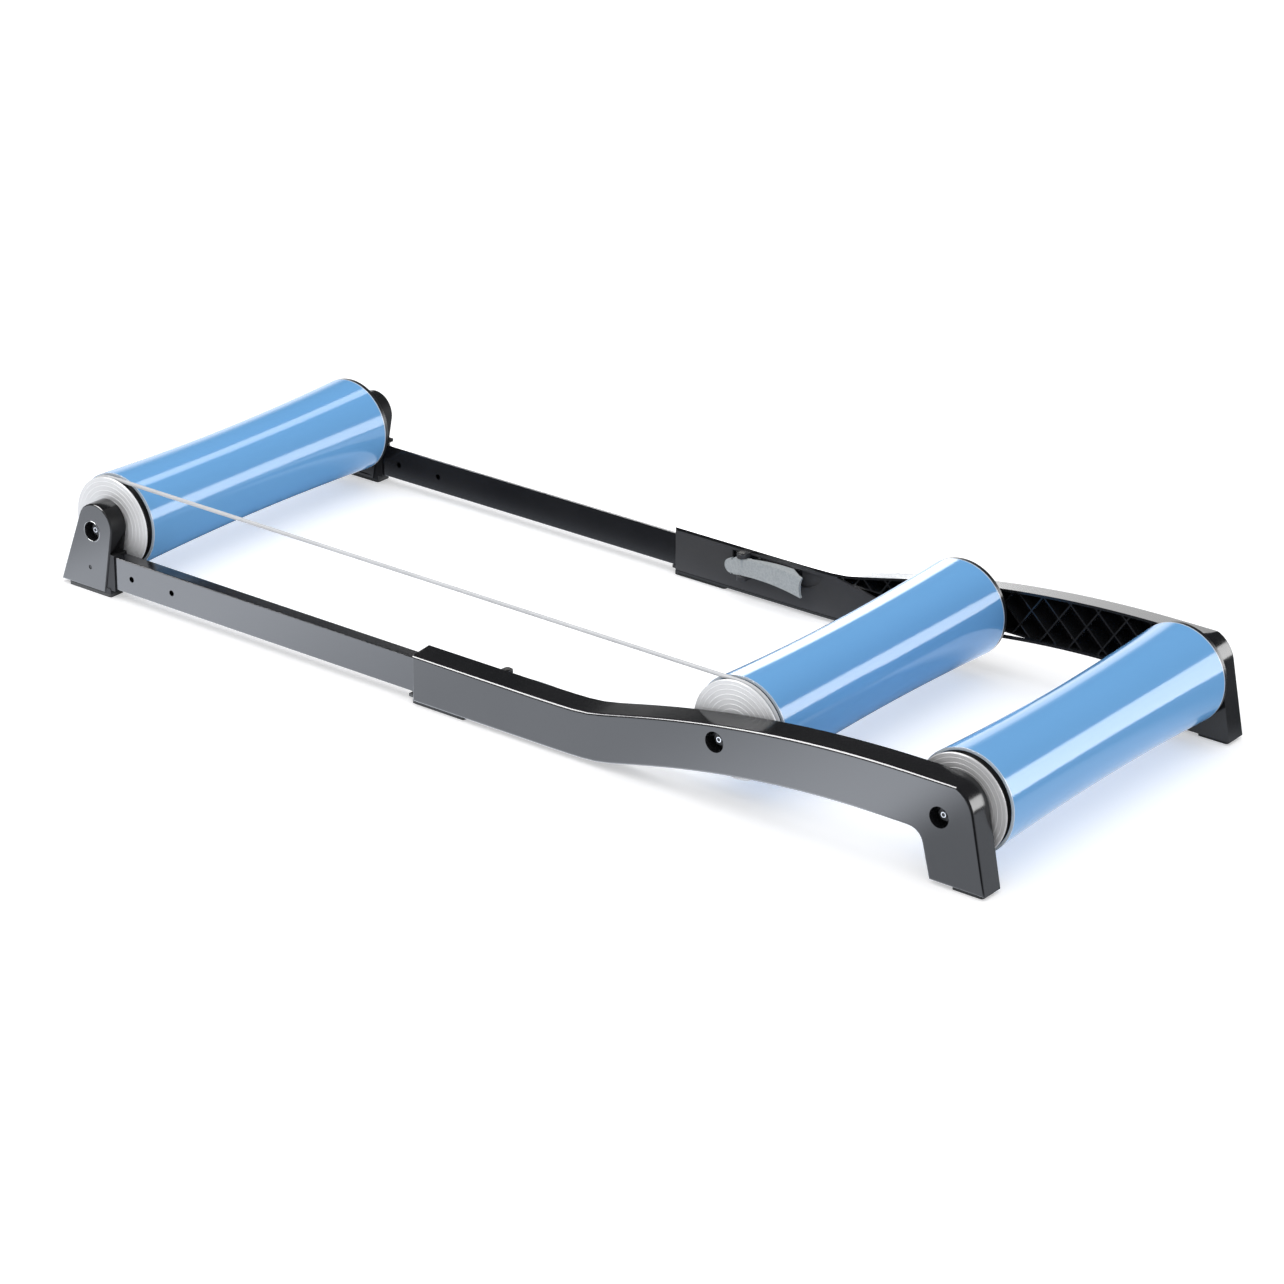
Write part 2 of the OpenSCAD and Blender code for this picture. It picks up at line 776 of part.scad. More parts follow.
// Pale disc with raised rings; its bevelled edge is the outer flange of the belt groove
module left_disc(u) {
    step = 0.6;
    color("gainsboro")
        about_roller(u)
            rotate_extrude($fn = 128)
                polygon([[disc_hole_d / 2, groove_y1],
                         [groove_d / 2 - 1, groove_y1],
                         [disc_r, groove_y1 + 1],
                         [disc_r, disc_face - 0.8],
                         [disc_r - 0.8, disc_face],
                         [disc_r * 0.86, disc_face],
                         [disc_r * 0.84, disc_face + step],
                         [disc_r * 0.64, disc_face + step],
                         [disc_r * 0.62, disc_face + 2 * step],
                         [disc_r * 0.40, disc_face + 2 * step],
                         [disc_r * 0.38, disc_face + 3 * step],
                         [disc_hole_d / 2, disc_face + 3 * step]]);
}

module right_hub(u) {
    rim_r = end_r - 0.4;
    groove_depth = 1.2;
    plug_end = -roller_half + plug_depth;
    color("black")
        about_roller(u)
            rotate_extrude($fn = 128)
                difference() {
                    polygon([[disc_hole_d / 2, plug_end],
                             [disc_hole_d / 2, right_bearing_y],
                             [rim_r * 0.43, right_bearing_y],
                             [rim_r * 0.45, right_bearing_y + groove_depth],
                             [rim_r * 0.82, right_bearing_y + groove_depth],
                             [rim_r * 0.84, right_bearing_y],
                             [rim_r - 1, right_bearing_y],
                             [rim_r, right_bearing_y + 1],
                             [rim_r, -roller_half],
                             [plug_r, -roller_half],
                             [plug_r, plug_end]]);
                    translate([hub_core_r, right_bearing_y + hub_web])
                        square([plug_r - 4 - hub_core_r, big]);
                    translate([0, right_bearing_y - 1])
                        square([bearing_d / 2, bearing_width + 1]);
                }
}

module bearing(u, y0) {
    color("silver")
        about_roller(u)
            rotate_extrude($fn = 96)
                difference() {
                    translate([axle_d / 2 + running_gap, y0])
                        square([(bearing_d - axle_d) / 2 - running_gap - seat_gap / 2, bearing_width]);
                    for (y = [y0 - 1, y0 + bearing_width - 0.6])
                        translate([axle_d / 2 + 2.2, y])
                            square([(bearing_d - axle_d) / 2 - 4.4, 1.6]);
                }
}

// Belt over the pulley grooves of the front and the middle roller
belt_r = groove_d / 2 + belt_gap + belt_d / 2;
belt_y = (groove_y0 + groove_y1) / 2;

module belt_turn() {
    rotate_extrude(angle = 180, $fn = 128)
        translate([belt_r, 0])
            circle(d = belt_d, $fn = 24);
}

module drive_belt() {
    color("white")
        translate([mid_x, belt_y, axle_height])
            rotate([90, 0, 0])
                union() {
                    rotate([0, 0, 90])
                        belt_turn();
                    translate([wheelbase, 0, 0])
                        rotate([0, 0, -90])
                            belt_turn();
                    for (s = [-1, 1])
                        translate([0, s * belt_r, 0])
                            rotate([0, 90, 0])
                                cylinder(h = wheelbase, d = belt_d, $fn = 24);
                }
}

outer_rail("left");  // left_outer_rail
outer_rail("right");  // right_outer_rail
sleeve_cover("left");  // left_sleeve_cover
sleeve_cover("right");  // right_sleeve_cover
mouth_bush("left");  // left_mouth_bush
mouth_bush("right");  // right_mouth_bush
mid_foot_pad("left");  // left_mid_foot
mid_foot_pad("right");  // right_mid_foot
rear_foot_pad("left");  // left_rear_foot
rear_foot_pad("right");  // right_rear_foot
latch_pin("left");  // left_latch_pin
latch_pin("right");  // right_latch_pin
axle(0, mid_pocket_floor);  // mid_axle
axle(-rear_axle_spacing, mid_pocket_floor);  // rear_axle
axle_nut(0, mid_pocket_floor, "left");  // mid_left_nut
axle_nut(0, mid_pocket_floor, "right");  // mid_right_nut
axle_nut(-rear_axle_spacing, mid_pocket_floor, "left");  // rear_left_nut
axle_nut(-rear_axle_spacing, mid_pocket_floor, "right");  // rear_right_nut
slide_bar("left");  // left_slide_bar
slide_bar("right");  // right_slide_bar
bar_plug("left");  // left_bar_plug
bar_plug("right");  // right_bar_plug
front_bracket("left");  // left_front_bracket
front_bracket("right");  // right_front_bracket
front_foot_pad("left");  // left_front_foot
front_foot_pad("right");  // right_front_foot
bracket_screw("left");  // left_bracket_screw
bracket_screw("right");  // right_bracket_screw
axle(wheelbase, front_pocket_floor);  // front_axle
axle_nut(wheelbase, front_pocket_floor, "left");  // front_left_nut
axle_nut(wheelbase, front_pocket_floor, "right");  // front_right_nut
roller_shell(wheelbase);  // front_shell
left_hub(wheelbase);  // front_left_hub
left_disc(wheelbase);  // front_left_disc
right_hub(wheelbase);  // front_right_hub
bearing(wheelbase, left_bearing_y);  // front_left_bearing
bearing(wheelbase, right_bearing_y);  // front_right_bearing
roller_shell(0);  // mid_shell
left_hub(0);  // mid_left_hub
left_disc(0);  // mid_left_disc
right_hub(0);  // mid_right_hub
bearing(0, left_bearing_y);  // mid_left_bearing
bearing(0, right_bearing_y);  // mid_right_bearing
roller_shell(-rear_axle_spacing);  // rear_shell
left_hub(-rear_axle_spacing);  // rear_left_hub
left_disc(-rear_axle_spacing);  // rear_left_disc
right_hub(-rear_axle_spacing);  // rear_right_hub
bearing(-rear_axle_spacing, left_bearing_y);  // rear_left_bearing
bearing(-rear_axle_spacing, right_bearing_y);  // rear_right_bearing
latch_lever("left");  // left_latch_lever
latch_lever("right");  // right_latch_lever
drive_belt();
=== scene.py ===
import math

import bmesh
import bpy
from mathutils import Matrix, Vector


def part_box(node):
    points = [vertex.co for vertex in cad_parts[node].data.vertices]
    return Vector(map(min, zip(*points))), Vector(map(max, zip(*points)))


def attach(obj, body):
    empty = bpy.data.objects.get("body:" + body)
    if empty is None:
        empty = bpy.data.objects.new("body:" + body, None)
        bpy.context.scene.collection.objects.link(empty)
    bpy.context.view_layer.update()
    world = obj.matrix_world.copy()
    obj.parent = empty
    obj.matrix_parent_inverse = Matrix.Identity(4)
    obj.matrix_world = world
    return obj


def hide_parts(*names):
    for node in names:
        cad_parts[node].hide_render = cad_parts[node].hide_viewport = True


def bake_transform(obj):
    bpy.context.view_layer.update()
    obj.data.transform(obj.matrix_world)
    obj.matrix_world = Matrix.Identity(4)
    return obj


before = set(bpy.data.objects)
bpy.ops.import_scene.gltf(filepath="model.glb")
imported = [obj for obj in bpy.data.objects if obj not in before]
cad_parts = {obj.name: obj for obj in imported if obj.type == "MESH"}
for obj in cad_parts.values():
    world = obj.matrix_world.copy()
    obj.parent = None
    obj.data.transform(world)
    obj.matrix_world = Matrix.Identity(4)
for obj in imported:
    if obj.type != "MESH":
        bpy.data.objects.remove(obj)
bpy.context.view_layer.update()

# Camera
# A long lens from the left and behind, looking down over the rear rollers.
# The frame lies on the floor, centred under the origin, with the front roller at +X.

camera_place = (-2.65334, 3.37787, 1.90316)
camera_heading = 218.2124
camera_tilt = 66.3246
camera_roll = 0.3548

camera = bpy.data.objects.new("camera", bpy.data.cameras.new("camera"))
bpy.context.scene.collection.objects.link(camera)
camera.matrix_world = (Matrix.Translation(camera_place)
                       @ Matrix.Rotation(math.radians(camera_heading), 4, "Z")
                       @ Matrix.Rotation(math.radians(camera_tilt), 4, "X")
                       @ Matrix.Rotation(math.radians(camera_roll), 4, "Z"))
camera.data.lens = 119.80
camera.data.sensor_width = 36
camera.data.shift_x = 0.01513
camera.data.shift_y = -0.00148
camera.data.clip_end = 60
bpy.context.scene.camera = camera
bpy.context.scene.view_settings.view_transform = "Standard"


# Studio floor
# A plain white floor. The camera sees it white, with the soft shadow of the frame on it.
# To glossy surfaces it is a glow, darker and brighter by place: painted reflections laid out for the
# rails and rollers. To matt surfaces it also glows a little, as painted bounce light.

def join(tree, *steps):
    """Links pairs of sockets, each given as (from, to)."""
    for start, end in steps:
        tree.links.new(start, end)


def maths(tree, operation, first, second):
    """A maths node whose inputs are sockets or plain numbers; returns its output."""
    node = tree.nodes.new("ShaderNodeMath")
    node.operation = operation
    for socket, value in zip(node.inputs, (first, second)):
        if isinstance(value, (int, float)):
            socket.default_value = value
        else:
            tree.links.new(value, socket)
    return node.outputs[0]


def ramp_between(tree, value, low, high, start, end):
    """Maps value from low to high onto start to end, with soft ends."""
    node = tree.nodes.new("ShaderNodeMapRange")
    node.interpolation_type = "SMOOTHSTEP"
    tree.links.new(value, node.inputs["Value"])
    for name, number in (("From Min", low), ("From Max", high), ("To Min", start), ("To Max", end)):
        node.inputs[name].default_value = number
    return node.outputs["Result"]


floor_half = 14
paper_white = (0.80, 0.80, 0.81, 1)
mirror_tint = (0.91, 0.96, 1.05, 1)
shadow_glow = 0.44
bounce_glow = 0.25
# Each fade is (from, to, value at from, value at to), by places in metres: first how the shadow
# ends far from the frame, then the painted reflections that the floor shows in gloss beside and under
# the frame
shadow_fade = (0.9, 2.6, shadow_glow, 1.0)
rear_roller_gloss = (-0.62, -0.50, 0.78, 0.0)
middle_gloss = (-0.20, 0.12, 0.17, 0.05)
right_rail_shade = (-0.34, -0.14, 0.15, 1.0)
right_rail_length = (-0.62, -0.54, 0.0, 1.0)
right_rail_gloss = (-0.25, -0.15, 1.35, 0.0)
left_rail_line = (0.222, 0.246, 0.0, 1.0)
# The painted reflection on the left rail's outer face: each step is (from, to, change) along X
outside_start = 2.9
outside_steps = ((0.08, 0.50, 1.4), (-0.12, -0.42, 2.3), (-0.43, -0.52, -3.4), (-0.64, -0.69, -1.8),
                 (0.62, 0.74, -1.5))


def floor_material():
    """White paper to the eye, with a glow that lifts it and its shadow; to glossy surfaces a glow of
    painted reflections, and to matt ones a faint glow of painted bounce light.
    """
    material = bpy.data.materials.new("studio_floor")
    material.use_nodes = True
    tree = material.node_tree
    tree.nodes.clear()
    light_path = tree.nodes.new("ShaderNodeLightPath")
    paper = tree.nodes.new("ShaderNodeBsdfDiffuse")
    paper.inputs["Color"].default_value = paper_white
    glow = tree.nodes.new("ShaderNodeEmission")
    both = tree.nodes.new("ShaderNodeAddShader")
    mirrored = tree.nodes.new("ShaderNodeEmission")
    mirrored.inputs["Color"].default_value = mirror_tint
    chosen = tree.nodes.new("ShaderNodeMixShader")
    out = tree.nodes.new("ShaderNodeOutputMaterial")
    place = tree.nodes.new("ShaderNodeTexCoord")
    apart = tree.nodes.new("ShaderNodeSeparateXYZ")
    reach = tree.nodes.new("ShaderNodeVectorMath")
    reach.operation = "LENGTH"
    join(tree,
         (place.outputs["Object"], apart.inputs[0]),
         (place.outputs["Object"], reach.inputs[0]))
    along = apart.outputs["X"]
    across = apart.outputs["Y"]
    far_off = ramp_between(tree, reach.outputs["Value"], *shadow_fade)
    seen = maths(tree, "MAXIMUM", light_path.outputs["Is Camera Ray"],
                 light_path.outputs["Is Transmission Ray"])
    seen_glow = maths(tree, "MULTIPLY", seen, far_off)
    lit_glow = maths(tree, "MULTIPLY", light_path.outputs["Is Diffuse Ray"], bounce_glow)
    under_rear = ramp_between(tree, along, *rear_roller_gloss)
    under_middle = ramp_between(tree, along, *middle_gloss)
    right_shade = ramp_between(tree, across, *right_rail_shade)
    inside = maths(tree, "MULTIPLY", maths(tree, "ADD", under_rear, under_middle), right_shade)
    right_side = maths(tree, "MULTIPLY", ramp_between(tree, along, *right_rail_length),
                       ramp_between(tree, across, *right_rail_gloss))
    inside = maths(tree, "MAXIMUM", inside, right_side)
    outside = outside_start
    for start, end, change in outside_steps:
        outside = maths(tree, "ADD", ramp_between(tree, along, start, end, 0.0, change), outside)
    left_side = ramp_between(tree, across, *left_rail_line)
    painted_reflection = maths(tree, "ADD", maths(tree, "MULTIPLY", left_side, outside),
                  maths(tree, "MULTIPLY", maths(tree, "SUBTRACT", 1.0, left_side), inside))
    join(tree,
         (maths(tree, "MAXIMUM", seen_glow, lit_glow), glow.inputs["Strength"]),
         (painted_reflection, mirrored.inputs["Strength"]),
         (paper.outputs[0], both.inputs[0]),
         (glow.outputs[0], both.inputs[1]),
         (light_path.outputs["Is Glossy Ray"], chosen.inputs[0]),
         (both.outputs[0], chosen.inputs[1]),
         (mirrored.outputs[0], chosen.inputs[2]),
         (chosen.outputs[0], out.inputs["Surface"]))
    return material


floor_shape = bmesh.new()
bmesh.ops.create_grid(floor_shape, x_segments=1, y_segments=1, size=floor_half)
floor_mesh = bpy.data.meshes.new("floor")
floor_shape.to_mesh(floor_mesh)
floor_shape.free()
floor_mesh.materials.append(floor_material())
floor = bpy.data.objects.new("floor", floor_mesh)
bpy.context.scene.collection.objects.link(floor)


# Studio room and lamps
# A white room that gloss sees dim but for one bright wall behind the right rail. One lamp
# overhead lights matt surfaces. The others are panels that show only in gloss.

wall_direction = (0.47, -0.88, 0)
# Fades of the room's brightness in gloss, by height and by the angle to the bright wall
wall_top = (0.27, 0.37, 1.0, 0.28)
wall_edge = (0.90, 0.96, 0.22, 2.4)
room_light_on_matt = 0.84
lamp_energy_factor = 4

world = bpy.data.worlds.new("studio_room")
bpy.context.scene.world = world
world.use_nodes = True
room = world.node_tree
room.nodes.clear()
room_path = room.nodes.new("ShaderNodeLightPath")
room_direction = room.nodes.new("ShaderNodeTexCoord")
room_height = room.nodes.new("ShaderNodeSeparateXYZ")
far_wall = room.nodes.new("ShaderNodeVectorMath")
far_wall.operation = "DOT_PRODUCT"
far_wall.inputs[1].default_value = wall_direction
room_light = room.nodes.new("ShaderNodeBackground")
room_out = room.nodes.new("ShaderNodeOutputWorld")
join(room,
     (room_direction.outputs["Generated"], room_height.inputs[0]),
     (room_direction.outputs["Generated"], far_wall.inputs[0]))
wall_height = ramp_between(room, room_height.outputs["Z"], *wall_top)
wall_side = ramp_between(room, far_wall.outputs["Value"], *wall_edge)
mirrored = maths(room, "MULTIPLY", wall_height, wall_side)
in_gloss = maths(room, "MULTIPLY", mirrored, room_path.outputs["Is Glossy Ray"])
not_gloss = maths(room, "SUBTRACT", 1.0, room_path.outputs["Is Glossy Ray"])
unseen = maths(room, "ADD", in_gloss, maths(room, "MULTIPLY", not_gloss, room_light_on_matt))
seen_white = maths(room, "MAXIMUM", room_path.outputs["Is Camera Ray"],
                   room_path.outputs["Is Transmission Ray"])
not_seen = maths(room, "SUBTRACT", 1.0, seen_white)
room_strength = maths(room, "ADD", seen_white, maths(room, "MULTIPLY", not_seen, unseen))
join(room,
     (room_strength, room_light.inputs["Strength"]),
     (room_light.outputs[0], room_out.inputs["Surface"]))


def show_only_in(lamp, *pieces):
    """Keeps a lamp's reflection to these pieces."""
    group = bpy.data.collections.new(lamp.name + "_pieces")
    for piece in pieces:
        group.objects.link(bpy.data.objects[piece])
    lamp.light_linking.receiver_collection = group


def softbox(name, place, aim, width, height, radiance, gloss_only=True):
    """A flat lamp of that brightness, at its place and turned to its aim."""
    lamp = bpy.data.lights.new(name, "AREA")
    lamp.shape = "RECTANGLE"
    lamp.size = width
    lamp.size_y = height
    lamp.energy = lamp_energy_factor * radiance * width * height
    holder = bpy.data.objects.new(name, lamp)
    bpy.context.scene.collection.objects.link(holder)
    turn = (Vector(aim) - Vector(place)).to_track_quat("-Z", "Y")
    holder.matrix_world = Matrix.Translation(place) @ turn.to_matrix().to_4x4()
    holder.visible_camera = False
    holder.visible_glossy = gloss_only
    holder.visible_diffuse = not gloss_only
    return holder


softbox("overhead", (0.2, 0.3, 3.2), (0, 0, 0), 5.0, 4.4, 0.80, gloss_only=False)
softbox("rear_strip", (-1.60, -1.15, 0.40), (-0.30, 0, 0.08), 2.0, 0.70, 5.6)
front_strip = softbox("front_strip", (0.63, -1.50, 1.57), (0.58, 0, 0.08), 0.45, 0.60, 4.0)
softbox("edge_light", (1.35, 1.43, 2.25), (-0.2, 0.2, 0.06), 2.2, 1.7, 16.0)
far_light = softbox("far_light", (2.20, -2.25, 0.90), (0.15, -0.22, 0.06), 1.8, 1.6, 7.0)
band_light = softbox("band_light", (1.60, -2.25, 0.62), (-0.30, 0, 0.12), 1.7, 1.2, 3.4)


# Outer rails
# One long glass-filled nylon moulding a side: a straight sleeve that rises into the arch
# over the rear rollers, with crossed ribs inside. The moulded shape keeps its rounded edges.

patch_share = 0.6
grain_share = 0.4
patch_fade = (0.35, 0.65, 0.0, 1.0)
uneven_range = (0.3, 0.7)


def detail_group():
    """Grain and patches of a finish: colour, roughness and normal that vary over the surface."""
    group = bpy.data.node_groups.new("surface_detail", "ShaderNodeTree")
    for name, kind, value in (("Colour", "NodeSocketColor", (0.5, 0.5, 0.5, 1)),
                              ("Patch Colour", "NodeSocketColor", (0.5, 0.5, 0.5, 1)),
                              ("Patch Scale", "NodeSocketFloat", 12.0),
                              ("Smooth", "NodeSocketFloat", 0.3),
                              ("Dull", "NodeSocketFloat", 0.4),
                              ("Grain Scale", "NodeSocketFloat", 1500.0),
                              ("Grain Depth", "NodeSocketFloat", 0.00002)):
        socket = group.interface.new_socket(name, in_out="INPUT", socket_type=kind)
        socket.default_value = value
    for name, kind in (("Colour", "NodeSocketColor"), ("Roughness", "NodeSocketFloat"),
                       ("Normal", "NodeSocketVector")):
        group.interface.new_socket(name, in_out="OUTPUT", socket_type=kind)
    entry = group.nodes.new("NodeGroupInput")
    leave = group.nodes.new("NodeGroupOutput")
    place = group.nodes.new("ShaderNodeTexCoord")
    patches = group.nodes.new("ShaderNodeTexNoise")
    patches.inputs["Detail"].default_value = 4
    grain = group.nodes.new("ShaderNodeTexNoise")
    grain.inputs["Detail"].default_value = 2
    blend = group.nodes.new("ShaderNodeMix")
    blend.data_type = "RGBA"
    rough = group.nodes.new("ShaderNodeMapRange")
    rough.inputs["From Min"].default_value = uneven_range[0]
    rough.inputs["From Max"].default_value = uneven_range[1]
    bump = group.nodes.new("ShaderNodeBump")
    bump.inputs["Strength"].default_value = 1.0
    patched = ramp_between(group, patches.outputs["Fac"], *patch_fade)
    uneven = maths(group, "ADD", maths(group, "MULTIPLY", patches.outputs["Fac"], patch_share),
                   maths(group, "MULTIPLY", grain.outputs["Fac"], grain_share))
    join(group,
         (place.outputs["Object"], patches.inputs["Vector"]),
         (place.outputs["Object"], grain.inputs["Vector"]),
         (entry.outputs["Patch Scale"], patches.inputs["Scale"]),
         (entry.outputs["Grain Scale"], grain.inputs["Scale"]),
         (patched, blend.inputs["Factor"]),
         (entry.outputs["Colour"], blend.inputs["A"]),
         (entry.outputs["Patch Colour"], blend.inputs["B"]),
         (uneven, rough.inputs["Value"]),
         (entry.outputs["Smooth"], rough.inputs["To Min"]),
         (entry.outputs["Dull"], rough.inputs["To Max"]),
         (grain.outputs["Fac"], bump.inputs["Height"]),
         (entry.outputs["Grain Depth"], bump.inputs["Distance"]),
         (blend.outputs["Result"], leave.inputs["Colour"]),
         (rough.outputs["Result"], leave.inputs["Roughness"]),
         (bump.outputs["Normal"], leave.inputs["Normal"]))
    return group


surface_detail = detail_group()


def finish(name, colour, patch, smooth, dull, grain_scale=1500.0, grain_depth=0.00002,
           patch_scale=12.0, metallic=0.0, ior=1.5):
    """A finish made of the shared surface detail and a shader of its own."""
    material = bpy.data.materials.new(name)
    material.use_nodes = True
    tree = material.node_tree
    shader = tree.nodes["Principled BSDF"]
    shader.inputs["Metallic"].default_value = metallic
    shader.inputs["IOR"].default_value = ior
    detail = tree.nodes.new("ShaderNodeGroup")
    detail.node_tree = surface_detail
    for socket, value in (("Colour", (*colour, 1)), ("Patch Colour", (*patch, 1)),
                          ("Patch Scale", patch_scale), ("Smooth", smooth), ("Dull", dull),
                          ("Grain Scale", grain_scale), ("Grain Depth", grain_depth)):
        detail.inputs[socket].default_value = value
    join(tree,
         (detail.outputs["Colour"], shader.inputs["Base Color"]),
         (detail.outputs["Roughness"], shader.inputs["Roughness"]),
         (detail.outputs["Normal"], shader.inputs["Normal"]))
    return material


def paint(material, *nodes):
    """Gives the frame's own solids their finish."""
    for node in nodes:
        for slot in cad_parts[node].material_slots:
            slot.material = material


join_distance = 0.00002
face_distance = 0.0001
flat_angle = math.radians(0.3)
sharp_angle = math.radians(35)
crease_angle = math.radians(32)


def merged_copy(node):
    """The solid's mesh with its corners joined and its flat faces whole."""
    shape = bmesh.new()
    shape.from_mesh(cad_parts[node].data)
    bmesh.ops.remove_doubles(shape, verts=shape.verts, dist=join_distance)
    bmesh.ops.dissolve_limit(shape, angle_limit=flat_angle, verts=shape.verts, edges=shape.edges)
    return shape


def on_face(edge, distance):
    """Whether the edge lies in an upright plane at that distance from the middle."""
    return all(abs(abs(v.co.y) - distance) < face_distance for v in edge.verts)


def round_over(shape, radius, chosen, segments=2, clamp=True):
    """Rounds the chosen sharp edges."""
    edges = [edge for edge in shape.edges
             if edge.is_manifold and edge.calc_face_angle(0) > sharp_angle and chosen(edge)]
    bmesh.ops.bevel(shape, geom=edges, offset=radius, offset_type="OFFSET", segments=segments,
                    profile=0.5, affect="EDGES", clamp_overlap=clamp, material=-1)


def add_piece(name, shape, material, body=None, replaced=(), crease=crease_angle):
    """Makes the piece, which rides on its body, if any, and stands for the solids it replaces."""
    for face in shape.faces:
        face.smooth = True
    for edge in shape.edges:
        edge.smooth = not edge.is_manifold or edge.calc_face_angle(0) < crease
    mesh = bpy.data.meshes.new(name)
    shape.to_mesh(mesh)
    shape.free()
    mesh.materials.append(material)
    piece = bpy.data.objects.new(name, mesh)
    bpy.context.scene.collection.objects.link(piece)
    flat_faces = piece.modifiers.new("flat_faces", "WEIGHTED_NORMAL")
    flat_faces.keep_sharp = True
    flat_faces.weight = 100
    if body:
        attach(piece, body)
    if replaced:
        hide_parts(*replaced)
    return piece


sides = ("left", "right")
rail_plastic = finish("rail_plastic", (0.010, 0.0105, 0.012), (0.013, 0.0135, 0.015), 0.11, 0.19,
                      grain_scale=1400.0, grain_depth=0.000012, ior=1.55)
rail_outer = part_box("left_outer_rail")[1][1]
rail_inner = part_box("left_outer_rail")[0][1]
outline_round = 0.0030
shortest_outline_edge = 0.0018
pocket_round = 0.0007
pocket_edges = (0.0009, 0.0014)
lip_round = 0.0006
shortest_lip_edge = 0.004

for side in sides:
    rail = merged_copy(side + "_outer_rail")
    round_over(rail, outline_round,
               lambda edge: on_face(edge, rail_outer)
               and edge.calc_length() > shortest_outline_edge, segments=5)
    round_over(rail, pocket_round,
               lambda edge: on_face(edge, rail_outer)
               and pocket_edges[0] < edge.calc_length() < pocket_edges[1])
    round_over(rail, lip_round,
               lambda edge: on_face(edge, rail_inner) and edge.calc_length() > shortest_lip_edge)
    add_piece(side + "_rail_moulding", rail, rail_plastic, "outer_frame", [side + "_outer_rail"])


# Sleeve covers
# A flat moulded plate closes the inner side of each sleeve, with a window behind the latch.
# Its eased edge leaves a fine seam along the lip of the rail.

cover_plastic = finish("cover_plastic", (0.046, 0.047, 0.052), (0.054, 0.055, 0.060), 0.34, 0.46)
cover_round = 0.0006
shortest_cover_edge = 0.002

for side in sides:
    cover = merged_copy(side + "_sleeve_cover")
    round_over(cover, cover_round,
               lambda edge: on_face(edge, rail_inner) and edge.calc_length() > shortest_cover_edge)
    add_piece(side + "_cover_moulding", cover, cover_plastic, "outer_frame", [side + "_sleeve_cover"])


# Mouth bushes
# A dull black guide of slippery plastic fills the mouth of each sleeve round the bar. A plug
# of the same plastic is pressed into the rear end of each bar and runs in the sleeve.

bush_plastic = finish("bush_plastic", (0.012, 0.012, 0.013), (0.016, 0.016, 0.016), 0.42, 0.58)
paint(bush_plastic, "left_mouth_bush", "right_mouth_bush", "left_bar_plug", "right_bar_plug")


# Feet
# Pads of moulded black rubber under the frame, each pushed on its peg into a hole in the
# underside of a rail or a bracket. Rubber scatters light more than the nylon above it.

foot_rubber = finish("foot_rubber", (0.010, 0.010, 0.010), (0.018, 0.018, 0.017), 0.62, 0.82,
                     grain_scale=900.0, grain_depth=0.00006)
paint(foot_rubber, *(side + place for side in sides
                     for place in ("_rear_foot", "_mid_foot", "_front_foot")))


# Slide bars
# Rectangular steel tubes with a black powder coat, which slide in the sleeves. Their long
# edges are a little round, as on any drawn tube.

bar_coat = finish("bar_coat", (0.011, 0.012, 0.015), (0.014, 0.015, 0.018), 0.16, 0.24,
                  grain_scale=2200.0, grain_depth=0.00002, ior=1.62)
bar_round = 0.0014
shortest_bar_edge = 0.3

for side in sides:
    bar = merged_copy(side + "_slide_bar")
    round_over(bar, bar_round, lambda edge: edge.calc_length() > shortest_bar_edge, segments=3)
    add_piece(side + "_bar_tube", bar, bar_coat, "inner_frame", [side + "_slide_bar"])

show_only_in(far_light, "right_bar_tube", "right_rail_moulding")


# Front brackets
# Rounded nylon heads over leaning feet that carry the front axle. The collar that stops the
# frame at the sleeve is duller than the head.

collar_black = finish("collar_black", (0.007, 0.007, 0.008), (0.009, 0.009, 0.010), 0.5, 0.6, ior=1.3)
bracket_round = 0.0020
pocket_clear = 0.014
screw_clear = 0.005
heel_back = 0.0075
sole_height = 0.006


def box_middle(node):
    """The middle of a solid's box."""
    return [(a + b) / 2 for a, b in zip(*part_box(node))]


def away_from(edge, centre, distance):
    """Whether both ends of the edge lie further than that from a line along Y through centre."""
    return all(math.hypot(v.co.x - centre[0], v.co.z - centre[2]) > distance for v in edge.verts)


for side in sides:
    bracket = merged_copy(side + "_front_bracket")
    bracket_outer = max(abs(corner[1]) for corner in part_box(side + "_front_bracket"))
    head = box_middle("front_axle")
    screw = box_middle(side + "_bracket_screw")
    round_over(bracket, bracket_round,
               lambda edge: on_face(edge, bracket_outer) and away_from(edge, head, pocket_clear)
               and away_from(edge, screw, screw_clear), segments=4, clamp=False)
    piece = add_piece(side + "_bracket_moulding", bracket, rail_plastic, "inner_frame",
                      [side + "_front_bracket"])
    piece.data.materials.append(collar_black)
    heel_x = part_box(side + "_front_foot")[0][0] + heel_back
    for face in piece.data.polygons:
        if face.center.x < heel_x and face.center.z > sole_height:
            face.material_index = 1


# Axles and nuts
# Plain steel rods with a shoulder at each end, held by a nut in each pocket. The end of a rod
# shows as a fine bright ring. A moulded rim runs round the pocket of each bracket, painted lighter
# and more reflective than the bracket's nylon as a painted highlight.

rollers = ("front", "mid", "rear")
black_zinc = finish("black_zinc", (0.010, 0.010, 0.011), (0.014, 0.014, 0.015), 0.3, 0.45, ior=1.4)
steel = finish("zinc_steel", (0.55, 0.56, 0.58), (0.46, 0.47, 0.49), 0.22, 0.38, metallic=1.0)
# The rim's finish is a lighter copy of the black nylon: a painted highlight round the pocket
highlit_rim_plastic = finish("highlit_rim_plastic", (0.045, 0.046, 0.050), (0.055, 0.056, 0.060), 0.15, 0.25, ior=2.0)
paint(black_zinc, "left_bracket_screw", "right_bracket_screw", "front_axle", "mid_axle", "rear_axle")
paint(black_zinc, *(roller + "_" + side + "_nut" for roller in rollers for side in sides))

seam_distance = 0.000002


